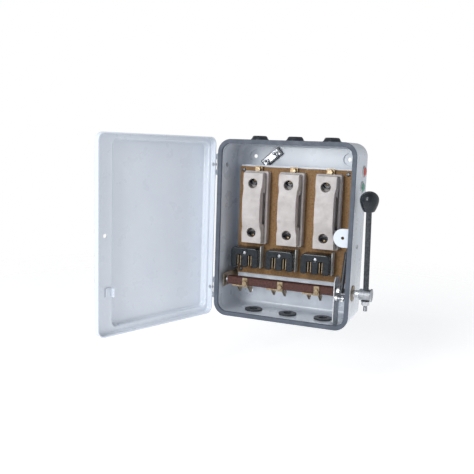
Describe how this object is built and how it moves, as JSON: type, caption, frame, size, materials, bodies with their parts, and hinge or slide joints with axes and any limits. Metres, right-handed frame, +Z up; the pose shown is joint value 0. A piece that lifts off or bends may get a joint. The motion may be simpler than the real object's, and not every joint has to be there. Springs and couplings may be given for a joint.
{
  "type": "fused disconnect box",
  "caption": "Wall-mounted sheet-steel fused disconnect box with a hinged lid, pull-out porcelain fuses, knife-blade switch poles and a side lever.",
  "frame": {"origin": "the middle of the wall plane, centred between the four mounting feet", "axes": "+X to the right of somebody facing the box, +Y into the wall, +Z up"},
  "size_m": [0.361, 0.2961, 0.304],
  "materials": {
    "enclosure_paint": "pale blue-grey gloss stove enamel",
    "gasket_rubber": "blue-grey rubber strip",
    "bush_rubber": "black rubber",
    "marker_red": "translucent red moulding",
    "marker_green": "translucent green moulding",
    "brass": "dull rolled brass, lightly tarnished",
    "zinc_steel": "bright zinc plating",
    "laminate_board": "brown paper laminate with a satin face",
    "porcelain": "unglazed off-white porcelain",
    "black_moulding": "black phenolic moulding",
    "fibre_sheet": "grey-white fibre sheet",
    "black_paint": "black enamel",
    "red_laminate": "dark red varnished laminate",
    "spring_steel": "oiled dark spring wire",
    "copper": "tinned copper strip",
    "tinned_wire": "tinned fuse wire"
  },
  "bodies": {
    "enclosure": {"box_shell": "enclosure_paint", "rim_gasket": "gasket_rubber", "top_cable_bushes": "bush_rubber", "bottom_cable_bushes": "bush_rubber", "marker_red": "marker_red", "marker_green": "marker_green", "shaft_bush": "brass", "lid_catch": "enclosure_paint", "box_hinge_leaves": "zinc_steel", "hinge_pins": "zinc_steel", "box_hinge_rivets": "zinc_steel", "mounting_tray": "enclosure_paint", "base_board": "laminate_board", "board_screws": "spring_steel", "fuse_base_1": "porcelain", "fuse_base_2": "porcelain", "fuse_base_3": "porcelain", "fuse_clips_1": "brass", "fuse_clips_2": "brass", "fuse_clips_3": "brass", "line_terminals": "brass", "arc_shield_1": "black_moulding", "arc_shield_2": "black_moulding", "arc_shield_3": "black_moulding", "shield_screws": "zinc_steel", "fixed_jaws": "brass", "phase_barriers": "fibre_sheet", "bar_bracket": "brass", "mechanism_plate": "zinc_steel", "spring_anchor": "zinc_steel", "neutral_block": "black_moulding", "neutral_strip": "zinc_steel", "neutral_studs": "zinc_steel"},
    "lid": {"lid_shell": "enclosure_paint", "lid_interlock": "enclosure_paint", "lid_hinge_leaves": "zinc_steel", "lid_hinge_rivets": "zinc_steel"},
    "handle": {"operating_shaft": "zinc_steel", "handle_hub": "zinc_steel", "handle_rod": "black_paint", "handle_knob": "black_moulding", "lever_nut": "zinc_steel", "crank_arm": "zinc_steel", "crank_pin": "zinc_steel"},
    "contact_bar": {"contact_bar": "red_laminate", "bar_pivot": "zinc_steel", "moving_contact_1": "brass", "moving_contact_2": "brass", "moving_contact_3": "brass", "contact_clamps": "brass"},
    "spring": {"toggle_spring": "spring_steel"},
    "fuse_1": {"fuse_carrier_1": "porcelain", "carrier_blades_1": "copper", "fuse_wire_1": "tinned_wire"},
    "fuse_2": {"fuse_carrier_2": "porcelain", "carrier_blades_2": "copper", "fuse_wire_2": "tinned_wire"},
    "fuse_3": {"fuse_carrier_3": "porcelain", "carrier_blades_3": "copper", "fuse_wire_3": "tinned_wire"}
  },
  "joints": [
    {"name": "lid_swing", "type": "hinge", "parent": "enclosure", "child": "lid", "pos_m": [-0.1168, -0.0805, 0], "axis": [0, 0, 1], "range_deg": [-60, 110.5]},
    {"name": "handle_turn", "type": "hinge", "parent": "enclosure", "child": "handle", "pos_m": [0.134, -0.071, -0.088], "axis": [1, 0, 0], "range_deg": [0, 108]},
    {"name": "contact_bar_turn", "type": "hinge", "parent": "enclosure", "child": "contact_bar", "pos_m": [0, -0.071, -0.088], "axis": [1, 0, 0], "range_deg": [0, 108]},
    {"name": "spring_swing", "type": "hinge", "parent": "enclosure", "child": "spring", "pos_m": [0.098, -0.056, -0.017], "axis": [1, 0, 0], "range_deg": [0, 19], "deforming": ["toggle_spring"]},
    {"name": "fuse_1_pull", "type": "slide", "parent": "enclosure", "child": "fuse_1", "axis": [0, -1, 0], "range_m": [0, 0.019]},
    {"name": "fuse_2_pull", "type": "slide", "parent": "enclosure", "child": "fuse_2", "axis": [0, -1, 0], "range_m": [0, 0.019]},
    {"name": "fuse_3_pull", "type": "slide", "parent": "enclosure", "child": "fuse_3", "axis": [0, -1, 0], "range_m": [0, 0.019]}
  ],
  "couplings": [
    {"joint": "contact_bar_turn", "follows": "handle_turn", "ratio": 1},
    {"joint": "spring_swing", "follows": "handle_turn", "ratio": 0.175}
  ]
}
